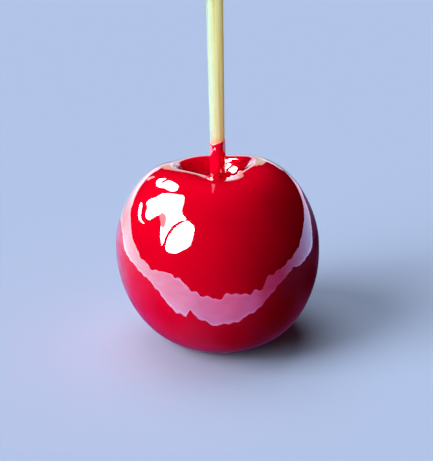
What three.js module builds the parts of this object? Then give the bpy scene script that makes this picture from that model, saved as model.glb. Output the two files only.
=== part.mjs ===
// A toffee apple: one apple dipped in red boiled-sugar toffee, standing on the flat spot where the
// toffee set, with a tapered wooden stick pushed down into its stalk hollow.
// Millimetres, +Z up. The stick's axis is the Z axis, and the origin is where it meets the surface
// the apple stands on. -Y is the front, where the rim of the hollow dips lowest.
import * as THREE from "three";

// ---- Driving dimensions -------------------------------------------------------------------------

// The coated apple, before it is made uneven.
const WIDTH = 76; // across the widest part
const EQUATOR_HEIGHT = 38.4; // height of the widest part
const CROWN_HEIGHT = 69.6; // mean height of the rim round the hollow
const FOOT_RADIUS = 11.4; // the flat spot underneath
const LOWER_FULLNESS = 1.95; // superellipse exponents: 2 is an ellipse, more is squarer
const UPPER_FULLNESS = 1.83;

// The hollow round the stalk, half filled by toffee that ran into it.
const RIM_RADIUS = 17.1; // top of the rolled rim
const RIM_ROLL = 4.2; // radius of the roll
const WALL_ANGLE = THREE.MathUtils.degToRad(52); // steepness of the hollow's wall
const FLOOR_HEIGHT = 62.6;
const FLOOR_BLEND = 3; // radius between the wall and the floor

// How this apple is uneven.
const TILT_FRONT = 0.162; // crown rises towards -Y by this much for each mm
const TILT_RIGHT = 0.035; // and towards +X
const CREASE_DEPTH = 3.4; // the deepest crease between two lobes, at the front of the rim
const CREASE_ANGLE = THREE.MathUtils.degToRad(-74); // its direction, measured from +X
const CREASE_SHARPNESS = 3;
const LOBES = 5;
const LOBE_DEPTH = 0.45; // the shallow creases between the other lobes
const RIM_SPREAD = 9; // how far the creases reach from the rim, in and out
const LEAN = -0.03; // the body leans towards -X by this much for each mm of height
const BODY_OFFSET_X = -0.7; // the equator's centre, beside the stick's axis
const TAPER_X = 0.094; // the body narrows upwards, side to side
const TAPER_Y = 0.144; // and front to back
const CORE_RADIUS = 4.5; // inside this radius nothing is uneven, so that the stick fits
const BODY_RADIUS = 12; // outside this radius the unevenness is full

// The stick and the toffee collar that climbs it.
const STICK_LENGTH = 150;
const STICK_END_HEIGHT = 30; // its lower end, inside the apple
const STICK_LOW_RADIUS = 2.35;
const STICK_TOP_RADIUS = 3.3;
const STICK_CHAMFER = 0.5;
const GAP = 0.3; // between the stick and the toffee or apple all round it
const COLLAR_WALL = 0.4;
const COLLAR_TOP = 77.2;
const COLLAR_SLANT = 0.28; // its edge climbs towards +X by this much for each mm
const COLLAR_FILLET = 1.6;

// Fineness of the faceted surfaces.
const BODY_SEGMENTS = 64; // round the apple
const STICK_SEGMENTS = 32;
const BOWL_STEPS = 14; // along each quarter of the outline
const ROLL_STEPS = 5;
const FILLET_STEPS = 4;
const COLLAR_STEPS = 3;

// ---- Outline of the coated apple ----------------------------------------------------------------

const point = (radius, height) => new THREE.Vector2(radius, height);

const stickRadius = (height) =>
  STICK_LOW_RADIUS +
  ((height - STICK_END_HEIGHT) / STICK_LENGTH) * (STICK_TOP_RADIUS - STICK_LOW_RADIUS);
const boreRadius = (height) => stickRadius(height) + GAP;
const collarRadius = (height) => boreRadius(height) + COLLAR_WALL;

// A quarter of a superellipse about a centre, from start to end angle (radians).
function bowl(centre, halfWidth, halfHeight, fullness, start, end) {
  const power = 2 / fullness;
  const points = [];
  for (let i = 0; i <= BOWL_STEPS; i++) {
    const angle = THREE.MathUtils.lerp(start, end, i / BOWL_STEPS);
    const across = Math.abs(Math.cos(angle)) ** power;
    const up = Math.sign(Math.sin(angle)) * Math.abs(Math.sin(angle)) ** power;
    points.push(point(centre.x + halfWidth * across, centre.y + halfHeight * up));
  }
  return points;
}

// An arc about a centre, from start to end angle (radians).
function arc(centre, radius, start, end, steps) {
  const points = [];
  for (let i = 0; i <= steps; i++) {
    const angle = THREE.MathUtils.lerp(start, end, i / steps);
    points.push(point(centre.x + radius * Math.cos(angle), centre.y + radius * Math.sin(angle)));
  }
  return points;
}

function appleOutline() {
  const quarter = Math.PI / 2;
  const lower = bowl(
    point(FOOT_RADIUS, EQUATOR_HEIGHT),
    WIDTH / 2 - FOOT_RADIUS,
    EQUATOR_HEIGHT,
    LOWER_FULLNESS,
    -quarter,
    0,
  );
  const upper = bowl(
    point(RIM_RADIUS, EQUATOR_HEIGHT),
    WIDTH / 2 - RIM_RADIUS,
    CROWN_HEIGHT - EQUATOR_HEIGHT,
    UPPER_FULLNESS,
    0,
    quarter,
  );
  const rollCentre = point(RIM_RADIUS, CROWN_HEIGHT - RIM_ROLL);
  const roll = arc(rollCentre, RIM_ROLL, quarter, quarter + WALL_ANGLE, ROLL_STEPS);
  const wallTop = roll[roll.length - 1];
  const blendDrop = FLOOR_BLEND * (1 - Math.cos(WALL_ANGLE));
  const wallRun = (wallTop.y - FLOOR_HEIGHT - blendDrop) / Math.tan(WALL_ANGLE);
  const blendRun = FLOOR_BLEND * Math.sin(WALL_ANGLE);
  const blendCentre = point(wallTop.x - wallRun - blendRun, FLOOR_HEIGHT + FLOOR_BLEND);
  const blend = arc(blendCentre, FLOOR_BLEND, WALL_ANGLE - quarter, -quarter, ROLL_STEPS);
  const filletTop = FLOOR_HEIGHT + COLLAR_FILLET;
  const filletCentre = point(collarRadius(filletTop) + COLLAR_FILLET, filletTop);
  const fillet = arc(filletCentre, COLLAR_FILLET, -quarter, -2 * quarter, FILLET_STEPS);
  const collar = [];
  for (let i = 1; i <= COLLAR_STEPS; i++) {
    const height = THREE.MathUtils.lerp(filletTop, COLLAR_TOP - COLLAR_WALL / 2, i / COLLAR_STEPS);
    collar.push(point(collarRadius(height), height));
  }
  const lipCentre = point(boreRadius(COLLAR_TOP) + COLLAR_WALL / 2, COLLAR_TOP - COLLAR_WALL / 2);
  const lip = arc(lipCentre, COLLAR_WALL / 2, 0, 2 * quarter, FILLET_STEPS);
  const boreEnd = STICK_END_HEIGHT - GAP;
  return [
    point(0, 0),
    ...lower,
    ...upper.slice(1),
    ...roll.slice(1),
    ...blend,
    ...fillet,
    ...collar.slice(0, -1),
    ...lip,
    point(boreRadius(boreEnd), boreEnd),
    point(0, boreEnd),
  ];
}

// ---- Unevenness ---------------------------------------------------------------------------------

// Moves one point of the round body to its place on the uneven one.
function makeUneven(vertex) {
  const radius = Math.hypot(vertex.x, vertex.y);
  const angle = Math.atan2(vertex.y, vertex.x);
  const body = THREE.MathUtils.smoothstep(radius, CORE_RADIUS, BODY_RADIUS);
  const rise = THREE.MathUtils.clamp(vertex.z / CROWN_HEIGHT, 0, 1);
  const aboveEquator = (vertex.z - EQUATOR_HEIGHT) / (CROWN_HEIGHT - EQUATOR_HEIGHT);
  const crown = THREE.MathUtils.clamp(aboveEquator, 0, 1) ** 2;
  const nearRim = Math.exp(-(((radius - RIM_RADIUS) / RIM_SPREAD) ** 2)) * crown * body;
  const crease = Math.max(0, Math.cos(angle - CREASE_ANGLE)) ** CREASE_SHARPNESS;
  const lobe = 0.5 + 0.5 * Math.cos(LOBES * (angle - CREASE_ANGLE));
  const tilt = (TILT_RIGHT * vertex.x - TILT_FRONT * vertex.y) * rise ** 2 * body;
  const taper = (vertex.z - EQUATOR_HEIGHT) / CROWN_HEIGHT;
  const lean = (BODY_OFFSET_X + LEAN * (vertex.z - EQUATOR_HEIGHT)) * body;
  const collar = THREE.MathUtils.smoothstep(vertex.z, FLOOR_HEIGHT, COLLAR_TOP) * (1 - body);
  const slant = COLLAR_SLANT * vertex.x * collar;
  vertex.set(
    vertex.x * (1 - TAPER_X * taper * body) + lean,
    vertex.y * (1 - TAPER_Y * taper * body),
    vertex.z + tilt + slant - (CREASE_DEPTH * crease + LOBE_DEPTH * lobe) * nearRim,
  );
}

// ---- Solids -------------------------------------------------------------------------------------

// A solid of revolution about the Z axis, from an outline that starts and ends on the axis.
function turned(outline, segments) {
  return new THREE.LatheGeometry(outline, segments).rotateX(Math.PI / 2);
}

function coatedApple() {
  const geometry = turned(appleOutline(), BODY_SEGMENTS);
  const positions = geometry.getAttribute("position");
  const vertex = new THREE.Vector3();
  for (let i = 0; i < positions.count; i++) {
    vertex.fromBufferAttribute(positions, i);
    makeUneven(vertex);
    positions.setXYZ(i, vertex.x, vertex.y, vertex.z);
  }
  geometry.computeVertexNormals();
  return geometry;
}

function stick() {
  const top = STICK_END_HEIGHT + STICK_LENGTH;
  const outline = [
    point(0, STICK_END_HEIGHT),
    point(STICK_LOW_RADIUS - STICK_CHAMFER, STICK_END_HEIGHT),
    point(STICK_LOW_RADIUS, STICK_END_HEIGHT + STICK_CHAMFER),
    point(STICK_TOP_RADIUS, top - STICK_CHAMFER),
    point(STICK_TOP_RADIUS - STICK_CHAMFER, top),
    point(0, top),
  ];
  return turned(outline, STICK_SEGMENTS);
}

// ---- Materials and assembly ---------------------------------------------------------------------

const toffeeRed = new THREE.MeshStandardMaterial({ color: 0xb4001a, roughness: 0.08, metalness: 0 });
const paleWood = new THREE.MeshStandardMaterial({ color: 0xe2d39c, roughness: 0.6, metalness: 0 });

function piece(name, geometry, material) {
  const mesh = new THREE.Mesh(geometry, material);
  mesh.name = name;
  return mesh;
}

const toffeeApple = new THREE.Group();
toffeeApple.add(piece("coated_apple", coatedApple(), toffeeRed));
toffeeApple.add(piece("stick", stick(), paleWood));

export default toffeeApple;
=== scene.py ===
import math

import bpy
import numpy as np
from mathutils import Matrix, Vector


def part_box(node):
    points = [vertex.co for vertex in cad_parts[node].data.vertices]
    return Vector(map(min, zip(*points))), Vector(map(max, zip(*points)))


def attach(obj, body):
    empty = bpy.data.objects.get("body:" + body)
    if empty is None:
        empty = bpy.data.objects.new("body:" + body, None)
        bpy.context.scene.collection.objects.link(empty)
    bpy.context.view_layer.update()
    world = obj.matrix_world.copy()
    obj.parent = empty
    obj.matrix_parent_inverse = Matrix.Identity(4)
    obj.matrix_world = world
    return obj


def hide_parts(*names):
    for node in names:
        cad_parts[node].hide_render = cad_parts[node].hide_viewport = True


# A toffee apple: the looks of its toffee coat and its wooden stick, on a pale floor in window light.
# Shapes are worked out in millimetres, as in the solids, and become metres when a mesh is made.
# What the toffee mirrors, such as the window and the table, is made of cards that only gloss sees.

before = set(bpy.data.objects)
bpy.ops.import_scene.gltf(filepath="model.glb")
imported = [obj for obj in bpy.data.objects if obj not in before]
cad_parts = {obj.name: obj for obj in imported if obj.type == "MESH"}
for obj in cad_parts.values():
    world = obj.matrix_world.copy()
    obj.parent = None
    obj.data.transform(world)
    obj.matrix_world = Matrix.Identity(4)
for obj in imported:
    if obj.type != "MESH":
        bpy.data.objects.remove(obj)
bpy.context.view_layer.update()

MM = 0.001


# ---- Small tools ----------------------------------------------------------------------------------


def smoothstep(values, low, high):
    t = np.clip((values - low) / (high - low), 0, 1)
    return t * t * (3 - 2 * t)


def new_mesh_object(name, points_mm, faces, smooth=True):
    """An object at the origin, with its place in its mesh."""
    mesh = bpy.data.meshes.new(name)
    mesh.from_pydata((np.asarray(points_mm, float) * MM).tolist(), [], faces)
    mesh.validate()
    mesh.polygons.foreach_set("use_smooth", [smooth] * len(mesh.polygons))
    mesh.update()
    made = bpy.data.objects.new(name, mesh)
    bpy.context.scene.collection.objects.link(made)
    return made


def lathe(outline, segments):
    """Rings of points about the Z axis, one for each point of an outline that starts and ends on it."""
    radius, height = np.array(outline[1:-1]).T
    angle = np.linspace(0, 2 * math.pi, segments, endpoint=False)
    x = radius[:, None] * np.cos(angle)
    y = radius[:, None] * np.sin(angle)
    z = np.broadcast_to(height[:, None], x.shape)
    return np.stack([x, y, z], -1)


def lathe_faces(rings, segments):
    """Quads between neighbouring rings, and a fan to the point on the axis at each end."""
    faces = []
    for ring in range(rings - 1):
        for i in range(segments):
            j = (i + 1) % segments
            low, high = ring * segments, (ring + 1) * segments
            faces.append((low + i, low + j, high + j, high + i))
    first_pole, last_pole = rings * segments, rings * segments + 1
    last = (rings - 1) * segments
    for i in range(segments):
        j = (i + 1) % segments
        faces.append((first_pole, j, i))
        faces.append((last_pole, last + i, last + j))
    return faces


def turned_object(name, outline, segments, shape_rings):
    """A closed piece turned about the Z axis, whose rings shape_rings then makes uneven."""
    rings = shape_rings(lathe(outline, segments))
    poles = np.array([[0, 0, outline[0][1]], [0, 0, outline[-1][1]]])
    points = np.concatenate([rings.reshape(-1, 3), poles])
    return new_mesh_object(name, points, lathe_faces(len(rings), segments))


def arc(centre, radius, start, end, steps):
    angles = np.linspace(start, end, steps + 1)
    return [(centre[0] + radius * math.cos(a), centre[1] + radius * math.sin(a)) for a in angles]


def superellipse(centre, half_width, half_height, fullness, start, end, steps):
    """A quarter of one: fullness 2 is an ellipse, and more is squarer."""
    power = 2 / fullness
    points = []
    for a in np.linspace(start, end, steps + 1):
        across = abs(math.cos(a)) ** power
        up = math.copysign(abs(math.sin(a)) ** power, math.sin(a))
        points.append((centre[0] + half_width * across, centre[1] + half_height * up))
    return points


def line(start, end, steps):
    """Points from start to end, without start itself."""
    return [tuple(p) for p in np.linspace(start, end, steps + 1)[1:]]


# ---- Stick ----------------------------------------------------------------------------------------

stick_low, stick_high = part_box("stick")
STICK_END_HEIGHT = stick_low.z / MM
STICK_TOP_HEIGHT = stick_high.z / MM
STICK_TOP_RADIUS = stick_high.x / MM
STICK_LOW_RADIUS = 2.35
STICK_CHAMFER = 0.5

STICK_SEGMENTS = 144
STICK_ROWS = 240
CHAMFER_ROWS = 3
EDGE_ROWS = 6  # round the free end's edge
END_ROWS = 5
END_MIDDLE = 0.3  # radius of the free end's innermost ring

FIBRE_DEPTH = 0.035  # how deep the grooves between the fibres are
FIBRE_WANDER = [(0.35, 21, 0), (0.2, 9, 1)]  # waves along the stick: size, mm to a radian, start
COARSE_FIBRES = 26  # round the stick
COARSE_SWAY = 3  # how far they follow the wander
COARSE_SHARE = 0.7
FINE_FIBRES = 57
FINE_SWAY = -5
FINE_SHARE = 0.3
FINE_BUNCHES = 3  # places round the stick where the fine ones lie closer
FINE_BUNCHING = 2


def stick_radius(height):
    along = (height - STICK_END_HEIGHT) / (STICK_TOP_HEIGHT - STICK_END_HEIGHT)
    return STICK_LOW_RADIUS + along * (STICK_TOP_RADIUS - STICK_LOW_RADIUS)


def fibre_grooves(rings):
    """Cuts shallow lengthwise grooves, which wander a little along the stick."""
    x, y, z = rings[..., 0], rings[..., 1], rings[..., 2]
    angle = np.arctan2(y, x)
    along = sum(size * np.sin(z / radian + start) for size, radian, start in FIBRE_WANDER)
    bunching = FINE_BUNCHING * np.sin(FINE_BUNCHES * angle)
    coarse = np.cos(COARSE_FIBRES * angle + COARSE_SWAY * along)
    fine = np.cos(FINE_FIBRES * angle + FINE_SWAY * along + bunching)
    groove = (0.5 + 0.5 * coarse) ** 3 * COARSE_SHARE + (0.5 + 0.5 * fine) ** 2 * FINE_SHARE
    scale = 1 - FIBRE_DEPTH * groove / np.maximum(np.hypot(x, y), 1)
    return np.stack([x * scale, y * scale, z], -1)


def build_stick():
    top = STICK_TOP_HEIGHT
    outline = [(0, STICK_END_HEIGHT), (STICK_LOW_RADIUS - STICK_CHAMFER, STICK_END_HEIGHT)]
    outline += line(outline[-1], (STICK_LOW_RADIUS, STICK_END_HEIGHT + STICK_CHAMFER), CHAMFER_ROWS)
    outline += line(outline[-1], (STICK_TOP_RADIUS, top - STICK_CHAMFER), STICK_ROWS)
    corner = (STICK_TOP_RADIUS - STICK_CHAMFER, top - STICK_CHAMFER)
    outline += arc(corner, STICK_CHAMFER, 0, math.pi / 2, EDGE_ROWS)[1:]
    outline += line(outline[-1], (END_MIDDLE, top), END_ROWS)
    outline += [(0, top)]
    return turned_object("stick_wood", outline, STICK_SEGMENTS, fibre_grooves)


# ---- Toffee coat ----------------------------------------------------------------------------------

# The round apple. The names and values down to BODY_RADIUS are those of the solid's source.
WIDTH = 76
EQUATOR_HEIGHT = 38.4
CROWN_HEIGHT = 69.6
FOOT_RADIUS = 11.4
LOWER_FULLNESS = 1.95
UPPER_FULLNESS = 1.83

# The hollow.
RIM_RADIUS = 17.1
RIM_ROLL = 4.2
WALL_ANGLE = math.radians(52)
FLOOR_HEIGHT = 62.6
FLOOR_BLEND = 3

# How this apple is uneven.
TILT_FRONT = 0.162
TILT_RIGHT = 0.035
CREASE_DEPTH = 3.4
CREASE_ANGLE = math.radians(-74)
CREASE_SHARPNESS = 3
LOBES = 5
LOBE_DEPTH = 0.45
RIM_SPREAD = 9
LEAN = -0.03
BODY_OFFSET_X = -0.7
TAPER_X = 0.094
TAPER_Y = 0.144
CORE_RADIUS = 4.5
BODY_RADIUS = 12

# The collar that climbs the stick. Unlike the solid's it lies close to the wood and ends thin.
COLLAR_TOP = 77.1
COLLAR_SLANT = 0.28  # its edge climbs towards +X by this much for each mm
COLLAR_GAP = 0.03
COLLAR_WALL = 0.45
COLLAR_EDGE_WALL = 0.16
COLLAR_FILLET = 1.5

COAT_SEGMENTS = 320
BOWL_ROWS = 70
BEND_ROWS = 12
FOOT_ROWS = 4
WALL_ROWS = 6
HOLLOW_FLOOR_ROWS = 3
COLLAR_ROWS = 12
LIP_ROWS = 8

# How uneven the hard toffee's surface is. Each pair below is where this starts and where it is full.
RIPPLE_DEPTH = 0.18
RIPPLE_LENGTHS = (9, 13, 19, 27)
RIPPLE_SEED = 7
RIPPLE_HEIGHTS = (0.5, 6)
WAVES_EACH = 3  # for each length

# And in the hollow, where it ran together.
LUMP_DEPTH = 0.8
LUMP_LENGTHS = (4.5, 6, 8)
LUMP_SEED = 5
LUMP_CORE = (4.5, 7)  # from the axis, as is the reach
LUMP_REACH = (16, 13)
LUMP_HEIGHTS = (58, 61)


def coat_outline():
    quarter = math.pi / 2
    foot = (FOOT_RADIUS, EQUATOR_HEIGHT)
    lower_size = (WIDTH / 2 - FOOT_RADIUS, EQUATOR_HEIGHT)
    lower = superellipse(foot, *lower_size, LOWER_FULLNESS, -quarter, 0, BOWL_ROWS)
    rim = (RIM_RADIUS, EQUATOR_HEIGHT)
    upper_size = (WIDTH / 2 - RIM_RADIUS, CROWN_HEIGHT - EQUATOR_HEIGHT)
    upper = superellipse(rim, *upper_size, UPPER_FULLNESS, 0, quarter, BOWL_ROWS)
    roll_centre = (RIM_RADIUS, CROWN_HEIGHT - RIM_ROLL)
    roll = arc(roll_centre, RIM_ROLL, quarter, quarter + WALL_ANGLE, BEND_ROWS)
    drop = FLOOR_BLEND * (1 - math.cos(WALL_ANGLE))
    run = (roll[-1][1] - FLOOR_HEIGHT - drop) / math.tan(WALL_ANGLE)
    blend_radius = roll[-1][0] - run - FLOOR_BLEND * math.sin(WALL_ANGLE)
    blend_centre = (blend_radius, FLOOR_HEIGHT + FLOOR_BLEND)
    blend = arc(blend_centre, FLOOR_BLEND, WALL_ANGLE - quarter, -quarter, BEND_ROWS)
    collar_radius = stick_radius(FLOOR_HEIGHT + COLLAR_FILLET) + COLLAR_GAP + COLLAR_WALL
    fillet_centre = (collar_radius + COLLAR_FILLET, FLOOR_HEIGHT + COLLAR_FILLET)
    fillet = arc(fillet_centre, COLLAR_FILLET, -quarter, -2 * quarter, BEND_ROWS)
    lip_height = COLLAR_TOP - COLLAR_EDGE_WALL
    lip_radius = stick_radius(lip_height) + COLLAR_GAP
    lip = arc((lip_radius, lip_height), COLLAR_EDGE_WALL, 0, quarter, LIP_ROWS)
    bore_end = STICK_END_HEIGHT - COLLAR_GAP
    outline = [(0, 0)] + line((0, 0), (FOOT_RADIUS, 0), FOOT_ROWS)
    outline += lower[1:] + upper[1:] + roll[1:]
    outline += line(roll[-1], blend[0], WALL_ROWS) + blend[1:]
    outline += line(blend[-1], fillet[0], HOLLOW_FLOOR_ROWS) + fillet[1:]
    outline += line(fillet[-1], lip[0], COLLAR_ROWS) + lip[1:]
    outline += [(stick_radius(bore_end) + COLLAR_GAP, bore_end), (0, bore_end)]
    return outline


def uneven_body(rings):
    """Moves the round body's points to their places on the uneven one, as the solid's source does."""
    x, y, z = rings[..., 0], rings[..., 1], rings[..., 2]
    radius = np.hypot(x, y)
    angle = np.arctan2(y, x)
    body = smoothstep(radius, CORE_RADIUS, BODY_RADIUS)
    rise = np.clip(z / CROWN_HEIGHT, 0, 1)
    crown = np.clip((z - EQUATOR_HEIGHT) / (CROWN_HEIGHT - EQUATOR_HEIGHT), 0, 1) ** 2
    near_rim = np.exp(-(((radius - RIM_RADIUS) / RIM_SPREAD) ** 2)) * crown * body
    crease = np.maximum(0, np.cos(angle - CREASE_ANGLE)) ** CREASE_SHARPNESS
    lobe = 0.5 + 0.5 * np.cos(LOBES * (angle - CREASE_ANGLE))
    tilt = (TILT_RIGHT * x - TILT_FRONT * y) * rise**2 * body
    taper = (z - EQUATOR_HEIGHT) / CROWN_HEIGHT
    lean = (BODY_OFFSET_X + LEAN * (z - EQUATOR_HEIGHT)) * body
    slant = COLLAR_SLANT * x * smoothstep(z, FLOOR_HEIGHT, COLLAR_TOP) * (1 - body)
    return np.stack(
        [
            x * (1 - TAPER_X * taper * body) + lean,
            y * (1 - TAPER_Y * taper * body),
            z + tilt + slant - (CREASE_DEPTH * crease + LOBE_DEPTH * lobe) * near_rim,
        ],
        -1,
    )


def ring_normals(rings):
    up = np.gradient(rings, axis=0)
    around = np.roll(rings, -1, 1) - np.roll(rings, 1, 1)
    normals = np.cross(around, up)
    return normals / (np.linalg.norm(normals, axis=-1, keepdims=True) + 1e-12)


def ripple(points, lengths, seed):
    """A smooth random height from 0 to 1, as the sum of waves that cross in all directions."""
    random = np.random.default_rng(seed)
    total = np.zeros(points.shape[:-1])
    for length in lengths:
        for _ in range(WAVES_EACH):
            direction = random.normal(size=3)
            direction /= np.linalg.norm(direction)
            phase = random.uniform(0, 2 * math.pi)
            total += np.sin(points @ direction * 2 * math.pi / length + phase) * length
    return 0.5 + 0.5 * total / (sum(lengths) * WAVES_EACH)


def shape_coat(rings):
    """The uneven body, with a rippled skin and lumps in the hollow."""
    radius = np.hypot(rings[..., 0], rings[..., 1])
    height = rings[..., 2]
    body = uneven_body(rings)
    skin = smoothstep(radius, CORE_RADIUS, BODY_RADIUS) * smoothstep(height, *RIPPLE_HEIGHTS)
    hollow = smoothstep(radius, *LUMP_CORE) * smoothstep(radius, *LUMP_REACH)
    hollow *= smoothstep(height, *LUMP_HEIGHTS)
    inward = RIPPLE_DEPTH * ripple(body, RIPPLE_LENGTHS, RIPPLE_SEED) * skin
    inward += LUMP_DEPTH * (ripple(body, LUMP_LENGTHS, LUMP_SEED) - 0.5) * hollow
    return body - ring_normals(body) * inward[..., None]


def build_coat():
    return turned_object("toffee_coat", coat_outline(), COAT_SEGMENTS, shape_coat)


# ---- Materials ------------------------------------------------------------------------------------


def map_range(tree, start, end, low, high):
    node = tree.nodes.new("ShaderNodeMapRange")
    limits = {"From Min": start, "From Max": end, "To Min": low, "To Max": high}
    for key, number in limits.items():
        node.inputs[key].default_value = number
    return node


class Nodes:
    """Short calls for one material's node tree."""

    def __init__(self, name):
        self.material = bpy.data.materials.new(name)
        self.material.use_nodes = True
        self.tree = self.material.node_tree
        self.shader = self.tree.nodes["Principled BSDF"]

    def add(self, kind, **settings):
        node = self.tree.nodes.new(kind)
        for key, value in settings.items():
            setattr(node, key, value)
        return node

    def link(self, output, target):
        self.tree.links.new(output, target)

    def set_shader(self, settings):
        for socket, value in settings.items():
            self.shader.inputs[socket].default_value = value

    def place(self, scale=(1, 1, 1)):
        """Coordinates of the point on the piece, in metres, times scale along each axis."""
        coordinates = self.add("ShaderNodeTexCoord")
        mapping = self.add("ShaderNodeMapping")
        mapping.inputs["Scale"].default_value = scale
        self.link(coordinates.outputs["Object"], mapping.inputs["Vector"])
        return mapping.outputs["Vector"]

    def split(self, vector):
        """The vector's X, Y and Z."""
        node = self.add("ShaderNodeSeparateXYZ")
        self.link(vector, node.inputs["Vector"])
        return [node.outputs[axis] for axis in "XYZ"]

    def noise(self, vector, scale, detail, roughness=0.5, distortion=0.0):
        node = self.add("ShaderNodeTexNoise")
        node.inputs["Scale"].default_value = scale
        node.inputs["Detail"].default_value = detail
        node.inputs["Roughness"].default_value = roughness
        node.inputs["Distortion"].default_value = distortion
        self.link(vector, node.inputs["Vector"])
        return node.outputs["Fac"]

    def ramp(self, value, stops):
        node = self.add("ShaderNodeValToRGB")
        elements = node.color_ramp.elements
        while len(elements) < len(stops):
            elements.new(0.5)
        for element, (position, colour) in zip(elements, stops):
            element.position = position
            element.color = (*colour, 1)
        self.link(value, node.inputs["Fac"])
        return node.outputs["Color"]

    def spread(self, value, start, end, low=0.0, high=1.0):
        """Goes evenly from low to high while the value goes from start to end."""
        node = map_range(self.tree, start, end, low, high)
        self.link(value, node.inputs["Value"])
        return node.outputs["Result"]

    def spread_mm(self, value, limits, low=0.0, high=1.0):
        """The same for a length, with its start and end in mm."""
        start, end = limits
        return self.spread(value, start * MM, end * MM, low, high)

    def mix(self, factor, first, second, blend="MIX"):
        node = self.add("ShaderNodeMix", data_type="RGBA", blend_type=blend)
        if isinstance(factor, float):
            node.inputs["Factor"].default_value = factor
        else:
            self.link(factor, node.inputs["Factor"])
        for socket, value in (("A", first), ("B", second)):
            target = [s for s in node.inputs if s.name == socket and s.type == "RGBA"][0]
            if isinstance(value, tuple):
                target.default_value = (*value, 1)
            else:
                self.link(value, target)
        return [s for s in node.outputs if s.type == "RGBA"][0]

    def math(self, operation, first, second):
        node = self.add("ShaderNodeMath", operation=operation)
        self.link(first, node.inputs[0])
        self.link(second, node.inputs[1])
        return node.outputs["Value"]

    def product(self, first, *others):
        for other in others:
            first = self.math("MULTIPLY", first, other)
        return first

    def bump(self, height, distance):
        node = self.add("ShaderNodeBump")
        node.inputs["Distance"].default_value = distance
        self.link(height, node.inputs["Height"])
        self.link(node.outputs["Normal"], self.shader.inputs["Normal"])


TOFFEE_RED = (0.62, 0.0, 0.012)
TOFFEE_BRIGHT = (0.72, 0.0, 0.016)
TOFFEE_DEEP = (0.40, 0.0, 0.006)
TOFFEE_POOLED_SHADE = (0.27, 0.0, 0.004)  # where it is thick in the hollow, with painted shade, most on the hollow's left wall
TOFFEE_THIN = (0.96, 0.0, 0.03)  # over the pale wood

# The hollow's darkening is partly toffee that pooled there and partly painted shade, strongest on its
# left wall, away from the window light.
# Each pair is where this starts and where it is full, in mm: from the axis, in height or in X.
POOLED_SHADE_REACH = (15, 9)
POOLED_SHADE_CORE = (3.5, 5)
POOLED_SHADE_HEIGHTS = (58, 61)
PAINTED_SHADE_ACROSS = (6, -2)
POOLED_SHADE_SHARE = 0.85
PAINTED_SHADE_RIGHT = 0.5  # how much of the painted shade is left towards the right
THIN_REACH = (4.6, 3.8)
THIN_HEIGHTS = (64, 68)


def toffee_material():
    nodes = Nodes("red_toffee")
    place = nodes.place()
    cloud = nodes.noise(place, scale=45, detail=2)
    colour = nodes.ramp(cloud, [(0.3, TOFFEE_RED), (0.7, TOFFEE_BRIGHT)])
    streak = nodes.noise(nodes.place((1, 1, 0.25)), scale=160, detail=3, distortion=0.6)
    colour = nodes.mix(nodes.spread(streak, 0.55, 0.8, high=0.25), colour, TOFFEE_DEEP)

    length = nodes.add("ShaderNodeVectorMath", operation="LENGTH")
    nodes.link(nodes.place((1, 1, 0)), length.inputs[0])
    from_axis = length.outputs["Value"]
    across, _, height = nodes.split(place)
    # Painted shade in the hollow, darkest on its left wall, together with the deeper colour of pooled
    # toffee.
    pooled_and_shade = nodes.product(
        nodes.spread_mm(from_axis, POOLED_SHADE_REACH, high=POOLED_SHADE_SHARE),
        nodes.spread_mm(from_axis, POOLED_SHADE_CORE),
        nodes.spread_mm(height, POOLED_SHADE_HEIGHTS),
        nodes.spread_mm(across, PAINTED_SHADE_ACROSS, low=PAINTED_SHADE_RIGHT),
    )
    colour = nodes.mix(pooled_and_shade, colour, TOFFEE_POOLED_SHADE)
    thin = nodes.product(nodes.spread_mm(from_axis, THIN_REACH), nodes.spread_mm(height, THIN_HEIGHTS))
    colour = nodes.mix(thin, colour, TOFFEE_THIN)

    nodes.link(colour, nodes.shader.inputs["Base Color"])
    gloss = nodes.noise(place, scale=120, detail=4)
    roughness = nodes.spread(gloss, 0.3, 0.8, low=0.03, high=0.07)
    nodes.link(roughness, nodes.shader.inputs["Roughness"])
    nodes.set_shader({"IOR": 1.5, "Coat Weight": 1.0, "Coat Roughness": 0.02, "Coat IOR": 1.5})
    return nodes.material


WOOD_WHITE = (0.63, 0.83, 0.66)
WOOD_PALE = (0.64, 0.78, 0.46)
WOOD_MID = (0.56, 0.60, 0.25)
WOOD_DARK = (0.42, 0.37, 0.14)
WOOD_TAN = (0.74, 0.74, 0.57)  # towards the apple
WOOD_STAINED = (0.82, 0.30, 0.20)  # where the toffee's colour has crept up the wood
PAINTED_LIGHT_TINTS = [  # painted light, from the left side to the right side: cool and dimmer on the left, warm on the right
    (0.0, (0.64, 0.73, 0.80)),
    (0.5, (0.84, 0.80, 0.72)),
    (0.8, (1.0, 0.92, 0.85)),
    (1.0, (0.88, 0.78, 0.70)),
]

# Each pair is where this starts and where it is full, in mm.
TAN_HEIGHTS = (150, 80)
PAINTED_LIGHT_ACROSS = (-2.6, 2.6)
STAIN_HEIGHTS = (79.5, 77.4)
STAIN_CREEP = 0.8  # how far the stain's edge strays


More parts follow.
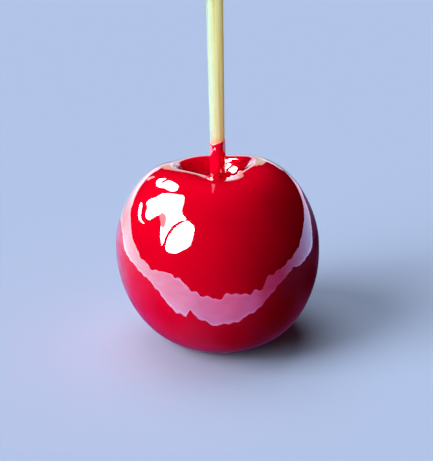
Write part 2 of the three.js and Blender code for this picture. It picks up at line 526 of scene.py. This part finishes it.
def wood_material():
    nodes = Nodes("pale_bamboo")
    fibre = nodes.noise(nodes.place((1, 1, 0.015)), scale=900, detail=3, roughness=0.6)
    fibre_colours = [(0.34, WOOD_DARK), (0.43, WOOD_MID), (0.51, WOOD_PALE), (0.60, WOOD_WHITE)]
    colour = nodes.ramp(fibre, fibre_colours)
    fleck = nodes.noise(nodes.place((1, 1, 0.12)), scale=2200, detail=2)
    colour = nodes.mix(nodes.spread(fleck, 0.62, 0.74, high=0.35), colour, WOOD_DARK)

    across, _, height = nodes.split(nodes.place())
    colour = nodes.mix(nodes.spread_mm(height, TAN_HEIGHTS, high=0.45), colour, WOOD_TAN)
    # Painted light: a cool tint on the stick's left side and a warm one on its right side.
    painted_light_tint = nodes.ramp(nodes.spread_mm(across, PAINTED_LIGHT_ACROSS), PAINTED_LIGHT_TINTS)
    colour = nodes.mix(1.0, colour, painted_light_tint, "MULTIPLY")
    patchy = nodes.noise(nodes.place((1, 1, 0.3)), scale=500, detail=3)
    creep = nodes.spread(patchy, 0.3, 0.7, -STAIN_CREEP * MM, STAIN_CREEP * MM)
    edge = nodes.math("ADD", height, creep)
    colour = nodes.mix(nodes.spread_mm(edge, STAIN_HEIGHTS, high=0.55), colour, WOOD_STAINED)

    nodes.link(colour, nodes.shader.inputs["Base Color"])
    roughness = nodes.spread(fibre, 0.3, 0.7, low=0.5, high=0.7)
    nodes.link(roughness, nodes.shader.inputs["Roughness"])
    nodes.set_shader(
        {
            "Specular IOR Level": 0.25,
            "Subsurface Weight": 0.4,
            "Subsurface Radius": (1.0, 0.85, 0.5),
            "Subsurface Scale": 0.004,
        }
    )
    nodes.bump(fibre, distance=0.00002)
    return nodes.material


# ---- Floor, camera and lights ---------------------------------------------------------------------

FLOOR_HALF = 5000
FLOOR_JOIN = 12  # to the right of this the floor sends no light up at the apple
FLOOR_COLOUR = (0.366, 0.458, 0.665)
FLOOR_ROUGHNESS = 0.9
BACKDROP_COLOUR = (0.443, 0.556, 0.806)  # the floor's, as lit

CAMERA_PLACE = Vector((0.33, -449.67, 223.97)) * MM
CAMERA_DOWN = math.radians(22)
CAMERA_YAW = math.radians(-0.16)
CAMERA_ROLL = math.radians(-1.117)
CAMERA_LENS = 101.55
CAMERA_CLIP = 0.01  # in metres

WORLD_COLOUR = (0.80, 0.87, 1.0)
WORLD_STRENGTH = 0.02

# Each light's azimuth and elevation, how wide it looks in degrees, and its strength.
LIGHTS = {
    "window_light": (-70, 40, 36, 2.3),
    "room_light": (-55, 20, 40, 2.0),
    "ceiling_light": (-150, 74, 50, 1.65),
}


def build_floor():
    """One plain floor in two parts that look alike, so that light comes up from the left part only."""
    nodes = Nodes("pale_floor")
    look = {"Base Color": (*FLOOR_COLOUR, 1), "Roughness": FLOOR_ROUGHNESS, "Specular IOR Level": 0.0}
    nodes.set_shader(look)
    h = FLOOR_HALF
    for name, left, right in (("floor_left", -h, FLOOR_JOIN), ("floor_right", FLOOR_JOIN, h)):
        corners = [(left, -h, 0), (right, -h, 0), (right, h, 0), (left, h, 0)]
        floor = new_mesh_object(name, corners, [(0, 1, 2, 3)], False)
        floor.data.materials.append(nodes.material)
        floor.visible_glossy = False
        floor.visible_diffuse = name == "floor_left"


def build_camera():
    forward = Vector(
        (
            math.sin(CAMERA_YAW) * math.cos(CAMERA_DOWN),
            math.cos(CAMERA_YAW) * math.cos(CAMERA_DOWN),
            -math.sin(CAMERA_DOWN),
        )
    )
    level = forward.cross(Vector((0, 0, 1))).normalized()
    upright = level.cross(forward)
    right = level * math.cos(CAMERA_ROLL) + upright * math.sin(CAMERA_ROLL)
    up = upright * math.cos(CAMERA_ROLL) - level * math.sin(CAMERA_ROLL)
    turn = Matrix((right, up, -forward)).transposed().to_4x4()
    camera_data = bpy.data.cameras.new("camera")
    camera_data.lens = CAMERA_LENS
    camera_data.clip_start = CAMERA_CLIP
    camera = bpy.data.objects.new("camera", camera_data)
    camera.matrix_world = Matrix.Translation(CAMERA_PLACE) @ turn
    bpy.context.scene.collection.objects.link(camera)
    bpy.context.scene.camera = camera


def build_world():
    world = bpy.data.worlds.new("pale_studio")
    world.use_nodes = True
    background = world.node_tree.nodes["Background"]
    background.inputs["Color"].default_value = (*WORLD_COLOUR, 1)
    background.inputs["Strength"].default_value = WORLD_STRENGTH
    bpy.context.scene.world = world


def towards(azimuth, elevation):
    """A unit vector: azimuth 0 is the front, -90 the left; both in degrees."""
    a, e = math.radians(azimuth), math.radians(elevation)
    return Vector((math.sin(a) * math.cos(e), -math.cos(a) * math.cos(e), math.sin(e)))


def soft_light(name, azimuth, elevation, width, strength):
    """Even soft light from one side, from far away, that isn't itself seen in reflections."""
    data = bpy.data.lights.new(name, "SUN")
    data.angle = math.radians(width)
    data.energy = strength
    light = bpy.data.objects.new(name, data)
    light.rotation_euler = towards(azimuth, elevation).to_track_quat("Z", "Y").to_euler()
    light.visible_glossy = False
    bpy.context.scene.collection.objects.link(light)


# ---- Cards ----------------------------------------------------------------------------------------

WHITE = (1, 1, 1)
BLACK = (0, 0, 0)
CURVE_STEPS = 8  # from one point of a card's outline to the next


def glowing(name, colour, strength=1.0):
    material = bpy.data.materials.new(name)
    material.use_nodes = True
    tree = material.node_tree
    tree.nodes.clear()
    emission = tree.nodes.new("ShaderNodeEmission")
    emission.inputs["Color"].default_value = (*colour, 1)
    emission.inputs["Strength"].default_value = strength
    output = tree.nodes.new("ShaderNodeOutputMaterial")
    tree.links.new(emission.outputs["Emission"], output.inputs["Surface"])
    material.cycles.emission_sampling = "NONE"
    return material


def reflection_only(card, material):
    """The card is seen in the gloss and does nothing else."""
    card.data.materials.append(material)
    card.visible_camera = False
    card.visible_diffuse = False
    card.visible_shadow = False
    card.visible_transmission = False


def light_only(card):
    """The card gives light, and isn't seen, mirrored or in the light's way."""
    card.visible_camera = False
    card.visible_glossy = False
    card.visible_shadow = False


def rounded(points):
    """A closed curve through the points."""
    knots = np.array(points, float)
    curve = []
    for i in range(len(knots)):
        before, start, end, after = (knots[(i + k - 1) % len(knots)] for k in range(4))
        for t in np.arange(CURVE_STEPS) / CURVE_STEPS:
            curve.append(
                0.5
                * (
                    2 * start
                    + (end - before) * t
                    + (2 * before - 5 * start + 4 * end - after) * t**2
                    + (3 * start - before - 3 * end + after) * t**3
                )
            )
    return np.array(curve)


def build_pane(name, outline, azimuth, elevation, distance, place, glow):
    """A flat card, square to the line from a place to the card's middle."""
    direction = towards(azimuth, elevation)
    across = np.array(direction.cross(Vector((0, 0, 1))).normalized())
    up = np.cross(across, np.array(direction))
    curve = rounded(outline)
    middle = np.array(place) + np.array(direction) * distance
    points = middle + curve[:, :1] * across + curve[:, 1:] * up
    reflection_only(new_mesh_object(name, points, [tuple(range(len(points)))], False), glow)


# ---- Window ---------------------------------------------------------------------------------------

WINDOW_AZIMUTH = -80
WINDOW_ELEVATION = 28
WINDOW_DISTANCE = 600
WINDOW_PLACE = (0, 0, 45)  # what it faces
WINDOW_GLOW = 30

# Outlines of what shows of the window, in mm on its plane: across towards the back, and up.
PANES = {
    "front": [
        (-640, 85), (-700, -60), (-680, -150), (-560, -230), (-430, -290), (-275, -280), (-250, -180),
        (-300, -60), (-370, 30), (-450, 90),
    ],
    "middle": [
        (-400, 90), (-280, 105), (-200, 200), (-120, 275), (-70, 280), (10, 225), (100, 165),
        (180, 110), (215, 40), (330, -70), (240, -105), (200, -160), (100, -160), (30, -100),
        (-60, -50), (-90, -110), (-130, -190), (-200, -255), (-215, -160), (-260, -50), (-330, 30),
    ],
    "back": [
        (533, 127), (728, 172), (860, 256), (870, 330), (730, 340), (650, 275), (572, 215),
        (490, 226), (560, 320), (492, 381), (333, 389), (215, 382), (88, 287), (97, 225), (175, 195),
        (287, 177), (379, 140),
    ],
    "sliver": [
        (160, -210), (330, -225), (420, -200), (500, -140), (420, -130), (350, -165), (290, -205),
    ],
}

# Dim parts of the window, a little nearer: one on the middle pane's edge and one far back.
HAZE_DISTANCE = 592
HAZE_COLOUR = (1, 0.9, 1)
HAZE = [
    (-14, -57), (-44, -34), (-80, -26), (-122, -46), (-145, -86), (-142, -122), (-112, -132),
    (-64, -101),
]
SPUR = [(1658, -26), (1570, 47), (1341, 170), (1146, 177), (1204, 82), (1239, 21)]
HAZY_PARTS = {"haze": (HAZE, 4), "spur": (SPUR, 2)}  # each with its glow

# A black card that keeps most of the back pane out of the hollow: the way it lies from the place
# that it shades, and its outline.
SHADE_PLACE = (6.3, 10.5, 66.9)
SHADE_AZIMUTH = -126
SHADE_ELEVATION = 43
SHADE_DISTANCE = 80
SHADE = [(-10, 0), (-9, 32), (0, 44), (30, 50), (56, 30), (56, -20), (30, -36), (-8, -28)]

# A faint upright streak on the front shoulder, under the stick: the way to its card from the place
# that mirrors it, and the card's outline.
STREAK_PLACE = (-1.6, -24.9, 68.5)
STREAK_AZIMUTH = 180
STREAK_ELEVATION = 79
STREAK_DISTANCE = 150
STREAK_COLOUR = (1, 0.8, 0.9)
STREAK_GLOW = 1.5
STREAK = [
    (4.0, -78), (6.8, -80), (4.6, -40), (2.2, 0), (-2.6, 40), (-7.4, 70), (-6.8, 40), (-2.8, 0),
    (0.2, -40),
]


def build_window():
    way = (WINDOW_AZIMUTH, WINDOW_ELEVATION)
    bright = glowing("window_glow", WHITE, WINDOW_GLOW)
    for name, outline in PANES.items():
        build_pane(f"window_{name}", outline, *way, WINDOW_DISTANCE, WINDOW_PLACE, bright)
    for name, (outline, strength) in HAZY_PARTS.items():
        dim = glowing(f"{name}_glow", HAZE_COLOUR, strength)
        build_pane(f"window_{name}", outline, *way, HAZE_DISTANCE, WINDOW_PLACE, dim)


def build_shade():
    way = (SHADE_AZIMUTH, SHADE_ELEVATION, SHADE_DISTANCE)
    build_pane("shade", SHADE, *way, SHADE_PLACE, glowing("shade_black", BLACK, 0))


def build_streak():
    way = (STREAK_AZIMUTH, STREAK_ELEVATION, STREAK_DISTANCE)
    build_pane("streak", STREAK, *way, STREAK_PLACE, glowing("streak_glow", STREAK_COLOUR, STREAK_GLOW))


# ---- Table and cloth ------------------------------------------------------------------------------

# A bright table round a darker cloth, as the gloss shows them; the cloth holds a painted shadow
# of the apple and a painted pink bounce from it. Each stop has an azimuth, 0 in front and 90 to the
# right, with the distance in mm at which the table starts or ends there, or its glow at its start
# and its end.
TABLE_START = [
    (-165, 150), (-150, 170), (-138, 230), (-126, 230), (-115, 165), (-82, 115), (-65, 95), (-49, 68),
    (-38, 56), (-30, 54), (-26, 64), (-19, 53), (-4, 46), (15, 49), (37, 64), (55, 92), (79, 130),
    (94, 124), (118, 150), (128, 230), (134, 285), (139, 300), (143, 350), (147, 420), (151, 390),
    (155, 340), (162, 280), (180, 185),
]
TABLE_END = [
    (-130, 2500), (-118, 900), (-107, 470), (-88, 235), (-70, 150), (-57, 160), (-44, 158),
    (-35, 130), (-26, 106), (-11, 88), (-1, 89), (12, 100), (30, 92), (41, 104), (47, 134), (58, 150),
    (69, 165), (83, 230), (97, 320), (110, 600), (125, 1000), (136, 950), (148, 900), (155, 850),
    (162, 1200), (172, 2500),
]
TABLE_GLOW = [
    (-172, (0.3, 0.4, 0.6), (0.4, 0.5, 0.7)),
    (-160, (0.3, 0.5, 0.75), (0.9, 1.6, 2.0)),
    (-150, (0.4, 0.6, 0.85), (0.9, 2.4, 2.7)),
    (-133, (0.7, 1.1, 1.3), (0.9, 2.6, 2.8)),
    (-116, (0.8, 3.2, 3.8), (0.8, 3.2, 3.8)),
    (-90, (0.8, 3.8, 4.7), (0.8, 3.8, 4.7)),
    (-55, (1.0, 3.2, 5.1), (1.0, 3.2, 5.1)),
    (-30, (1.2, 2.7, 5.0), (1.2, 2.7, 5.0)),
    (-15, (1.2, 1.8, 4.0), (1.2, 1.8, 4.0)),
    (0, (1.8, 1.35, 3.2), (1.8, 1.35, 3.2)),
    (13, (2.1, 1.0, 2.6), (2.1, 1.0, 2.6)),
    (28, (2.1, 0.8, 2.5), (2.1, 0.8, 2.5)),
    (42, (1.6, 0.25, 0.9), (1.6, 0.25, 0.9)),
    (62, (1.3, 0.12, 0.6), (1.3, 0.12, 0.6)),
    (78, (1.1, 0.4, 1.1), (1.1, 0.4, 1.1)),
    (106, (1.0, 0.9, 1.9), (1.0, 0.9, 1.9)),
    (125, (0.9, 1.1, 1.9), (0.9, 1.1, 1.9)),
    (143, (1.2, 0.9, 1.4), (1.2, 0.9, 1.4)),
    (155, (1.2, 0.9, 1.3), (1.2, 0.9, 1.3)),
    (163, (0.35, 0.4, 0.55), (0.35, 0.4, 0.55)),
]
TABLE_HEIGHT = 0.4
TABLE_ROWS = (0, 0.05, 0.12, 0.35, 0.6, 0.88, 0.95, 1)  # from its start to its end
START_WANDER = (0.03, (19, 31, 47), 3)  # size, waves in a whole turn, and seed
END_WANDER = (0.08, (17, 26, 41), 5)
EDGE_LIFT = 0.3  # how much brighter the table is along its edges
TURN_STEPS = 720

# Places on the cloth, in mm, and how it glows there: a painted pink bounce from the apple on the
# left and a painted shadow of the apple in front and to the right.
CLOTH_GLOW_AND_SHADOW = [
    ((-60, 180), (0.28, 0.55, 0.80)),
    ((-125, 120), (0.50, 0.58, 0.95)),
    ((-90, 75), (0.53, 0.36, 0.74)),
    ((-72, 35), (0.45, 0.28, 0.60)),
    ((-68, 0), (0.60, 0.09, 0.40)),
    ((-47, -15), (0.40, 0.03, 0.25)),
    ((-42, -34), (0.15, 0.00, 0.08)),
    ((-12, -30), (0.25, 0.04, 0.20)),
    ((5, -36), (0.00, 0.00, 0.00)),
    ((40, -32), (0.03, 0.00, 0.00)),
    ((70, 25), (0.02, 0.00, 0.01)),
    ((95, 95), (0.02, 0.00, 0.02)),
    ((120, 150), (0.05, 0.02, 0.08)),
    ((60, 180), (0.10, 0.10, 0.20)),
]
CLOTH_HEIGHT = 0.2
CLOTH_REACH = (0.05, 1.02)  # as shares of the way to the table
CLOTH_ROWS = 14
CLOTH_BLUR = 4  # how far its places blend into each other, in mm
CLOTH_FALLOFF = 3

# How much the glow varies, and the noise that does it.
TABLE_VARIATION = 0.12
CLOTH_VARIATION = 0.2
CARD_VARIATION = 0.1
VARIATION_SCALE = 60
VARIATION_DETAIL = 3
VARIATION_RANGE = (0.3, 0.7)


def by_azimuth(stops, azimuths):
    """What the stops give all the way round, straight from one stop to the next."""
    places = [stop[0] for stop in stops]
    values = np.array([stop[1] for stop in stops], float).reshape(len(stops), -1)
    return np.stack([np.interp(azimuths, places, column, period=360) for column in values.T], -1)


def wander(azimuths, size, waves, seed):
    """A smooth random factor near 1; waves are how many fit in a whole turn."""
    random = np.random.default_rng(seed)
    total = sum(np.sin(np.radians(azimuths) * n + random.uniform(0, 2 * math.pi)) for n in waves)
    return 1 + size * total / len(waves)


def cloth_glow_and_shadow(points):
    """The glow of the cloth's named places, with its painted shadow and bounce, blended by how near
    each is.
    """
    places = np.array([place for place, _ in CLOTH_GLOW_AND_SHADOW], float)
    colours = np.array([colour for _, colour in CLOTH_GLOW_AND_SHADOW])
    apart = np.linalg.norm(points[..., None, :2] - places, axis=-1)
    weight = 1 / (apart + CLOTH_BLUR) ** CLOTH_FALLOFF
    return (weight @ colours) / weight.sum(-1, keepdims=True)


def glow_from_points(name, variation):
    """A material that glows in the colours of its points, a little uneven."""
    material = glowing(name, WHITE)
    tree = material.node_tree
    emission = next(node for node in tree.nodes if node.type == "EMISSION")
    colour = tree.nodes.new("ShaderNodeVertexColor")
    colour.layer_name = "glow"
    coordinates = tree.nodes.new("ShaderNodeTexCoord")
    noise = tree.nodes.new("ShaderNodeTexNoise")
    noise.inputs["Scale"].default_value = VARIATION_SCALE
    noise.inputs["Detail"].default_value = VARIATION_DETAIL
    strength = map_range(tree, *VARIATION_RANGE, 1 - variation, 1 + variation)
    tree.links.new(coordinates.outputs["Object"], noise.inputs["Vector"])
    tree.links.new(noise.outputs["Fac"], strength.inputs["Value"])
    tree.links.new(colour.outputs["Color"], emission.inputs["Color"])
    tree.links.new(strength.outputs["Result"], emission.inputs["Strength"])
    return material


def glowing_grid(name, points, colours, closed, material):
    """Rows of points joined by faces, which glow in the colours given for the points."""
    rows, columns = points.shape[:2]
    faces = []
    for row in range(rows - 1):
        for i in range(columns if closed else columns - 1):
            j = (i + 1) % columns
            low, high = row * columns, (row + 1) * columns
            faces.append((low + i, low + j, high + j, high + i))
    grid = new_mesh_object(name, points.reshape(-1, 3), faces, False)
    glow = grid.data.color_attributes.new("glow", "FLOAT_COLOR", "POINT")
    colours = colours.reshape(-1, 3)
    glow.data.foreach_set("color", np.column_stack([colours, np.ones(len(colours))]).ravel())
    reflection_only(grid, material)


def flat_ring(azimuths, reach, height):
    turn = np.radians(azimuths)
    return np.stack([reach * np.sin(turn), -reach * np.cos(turn), np.full(reach.shape, height)], -1)


def build_table():
    azimuths = np.linspace(-180, 180, TURN_STEPS, endpoint=False)
    starts = by_azimuth(TABLE_START, azimuths)[:, 0] * wander(azimuths, *START_WANDER)
    ends = by_azimuth(TABLE_END, azimuths)[:, 0] * wander(azimuths, *END_WANDER)
    outward = np.array(TABLE_ROWS)[:, None]
    table = flat_ring(azimuths, starts * (ends / starts) ** outward, TABLE_HEIGHT)
    near = by_azimuth([(azimuth, glow) for azimuth, glow, _ in TABLE_GLOW], azimuths)
    far = by_azimuth([(azimuth, glow) for azimuth, _, glow in TABLE_GLOW], azimuths)
    colours = near + (far - near) * outward[..., None]
    colours[[0, 1, -2, -1]] *= 1 + EDGE_LIFT
    table_light = glow_from_points("table_light", TABLE_VARIATION)
    glowing_grid("table_glow", table, colours, True, table_light)
    cloth_reach = starts * np.linspace(*CLOTH_REACH, CLOTH_ROWS)[:, None]
    cloth = flat_ring(azimuths, cloth_reach, CLOTH_HEIGHT)
    cloth_light = glow_from_points("cloth_light", CLOTH_VARIATION)
    # The cloth glows with a painted shadow of the apple and a painted bounce from it.
    glowing_grid("cloth_glow_and_shadow", cloth, cloth_glow_and_shadow(cloth), True, cloth_light)


# ---- Cards behind the apple -----------------------------------------------------------------------

# Far cards, for the thin bright lines on the rim. Each stop has an azimuth, the card's lower and
# upper edge there, and its glow.
BACK_DISTANCE = 2400
BACK_COLUMNS = 60
BACK_CARDS = {
    "back_wall": [
        (-168, 0, 430, (1.1, 1.4, 1.7)),
        (-163, 0, 520, (1.0, 1.7, 2.1)),
        (-157, 0, 400, (0.9, 2.1, 2.5)),
        (-150, 0, 300, (0.9, 2.3, 2.7)),
        (-144, 0, 190, (0.9, 2.4, 2.8)),
        (-134, 0, 75, (0.9, 2.6, 2.8)),
    ],
    "beige_card": [
        (172, 190, 760, (0.65, 0.90, 0.82)),
        (174, 190, 920, (0.65, 0.90, 0.80)),
        (176, 190, 800, (0.65, 0.90, 0.78)),
        (178, 190, 960, (0.65, 0.90, 0.76)),
        (181, 190, 840, (0.65, 0.88, 0.74)),
        (192, 190, 920, (0.65, 0.88, 0.72)),
    ],
    "low_wall": [
        (162, 0, 190, (1.1, 1.1, 1.3)),
        (192, 0, 190, (1.1, 1.3, 1.5)),
    ],
}

# A low card just behind the apple, for the line along the hollow's far rim. Its back is black.
RIM_CARD_PLACE = (0, 15, 68)
RIM_CARD_AZIMUTH = 180
RIM_CARD_ELEVATION = 0
RIM_CARD_DISTANCE = 30
RIM_CARD_THICKNESS = 0.5
RIM_CARD_GLOW = (1.2, 1.2, 1.6)
RIM_CARD = [(-13, 4), (9, 4), (9, 13), (-13, 13)]


def build_back_card(name, stops):
    places, lower, upper, glows = zip(*stops)
    azimuths = np.linspace(places[0], places[-1], BACK_COLUMNS)
    turn = np.radians(azimuths)
    x, y = BACK_DISTANCE * np.sin(turn), -BACK_DISTANCE * np.cos(turn)
    rows = [np.column_stack([x, y, np.interp(azimuths, places, edge)]) for edge in (lower, upper)]
    colours = np.column_stack([np.interp(azimuths, places, channel) for channel in zip(*glows)])
    light = glow_from_points(name, CARD_VARIATION)
    glowing_grid(name, np.stack(rows), np.stack([colours, colours]), False, light)


def build_rim_card():
    way = (RIM_CARD_AZIMUTH, RIM_CARD_ELEVATION)
    near, far = RIM_CARD_DISTANCE, RIM_CARD_DISTANCE + RIM_CARD_THICKNESS
    build_pane("rim_card", RIM_CARD, *way, near, RIM_CARD_PLACE, glowing("rim_glow", RIM_CARD_GLOW))
    build_pane("rim_card_back", RIM_CARD, *way, far, RIM_CARD_PLACE, glowing("rim_black", BLACK, 0))


# ---- Fill lights and room -------------------------------------------------------------------------

FILL_AZIMUTH = 20
FILL_DISTANCE = 50
FILL_HALF_WIDTH = 16
FILL_HEIGHTS = (70, 180)
FILL_COLOUR = (1.0, 0.80, 0.40)
FILL_GLOW = 2.6

LOW_GLOW = 0.16
LOW_GLOW_REACH = (25, 400, 5)  # near and far edge, and depth, in mm

ROOM_RADIUS = 3000  # the dark room that the gloss sees
BACKDROP_RADIUS = 3200  # what the camera sees beyond the floor
SHELL_SEGMENTS = 48
SHELL_ROWS = 24


def build_stick_fill(stick):
    """A soft glow near the stick's darker side, unseen, for the light that comes through pale wood."""
    out = np.array(towards(FILL_AZIMUTH, 0)) * FILL_DISTANCE
    across = np.array(towards(FILL_AZIMUTH + 90, 0)) * FILL_HALF_WIDTH
    low, high = (np.array([0, 0, height]) for height in FILL_HEIGHTS)
    corners = [out - across + low, out + across + low, out + across + high, out - across + high]
    card = new_mesh_object("stick_fill", corners, [(0, 1, 2, 3)], False)
    material = glowing("fill_glow", FILL_COLOUR, FILL_GLOW)
    material.cycles.emission_sampling = "AUTO"
    card.data.materials.append(material)
    light_only(card)
    lit = bpy.data.collections.new("lit_by_stick_fill")
    lit.objects.link(stick)
    card.light_linking.receiver_collection = lit


def build_low_glow():
    """A dim glow under the right part of the floor, which only the apple's lower right side gets."""
    near, far, depth = LOW_GLOW_REACH
    corners = [(near, -far, -depth), (far, -far, -depth), (far, far, -depth), (near, far, -depth)]
    card = new_mesh_object("low_glow", corners, [(0, 1, 2, 3)], False)
    card.data.materials.append(glowing("low_glow", WHITE, LOW_GLOW))
    light_only(card)


def build_shell(name, radius, colour):
    """A shell round everything that glows evenly."""
    outline = arc((0, 0), radius, -math.pi / 2, math.pi / 2, SHELL_ROWS)
    shell = turned_object(name, outline, SHELL_SEGMENTS, lambda rings: rings)
    reflection_only(shell, glowing(name, colour))
    return shell


# ---- Assembly -------------------------------------------------------------------------------------

build_camera()

coat = build_coat()
coat.data.materials.append(toffee_material())
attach(coat, "root")
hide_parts("coated_apple")

stick = build_stick()
stick.data.materials.append(wood_material())
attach(stick, "root")
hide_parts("stick")
stick.visible_glossy = False

build_floor()
build_world()
for light_name, light_settings in LIGHTS.items():
    soft_light(light_name, *light_settings)
build_window()
build_shade()
build_streak()
build_table()
for card_name, card_stops in BACK_CARDS.items():
    build_back_card(card_name, card_stops)
build_rim_card()
build_stick_fill(stick)
build_low_glow()
build_shell("dark_room", ROOM_RADIUS, BLACK)
backdrop = build_shell("pale_backdrop", BACKDROP_RADIUS, BACKDROP_COLOUR)
backdrop.visible_camera = True
backdrop.visible_glossy = False

bpy.context.scene.view_settings.view_transform = "Standard"
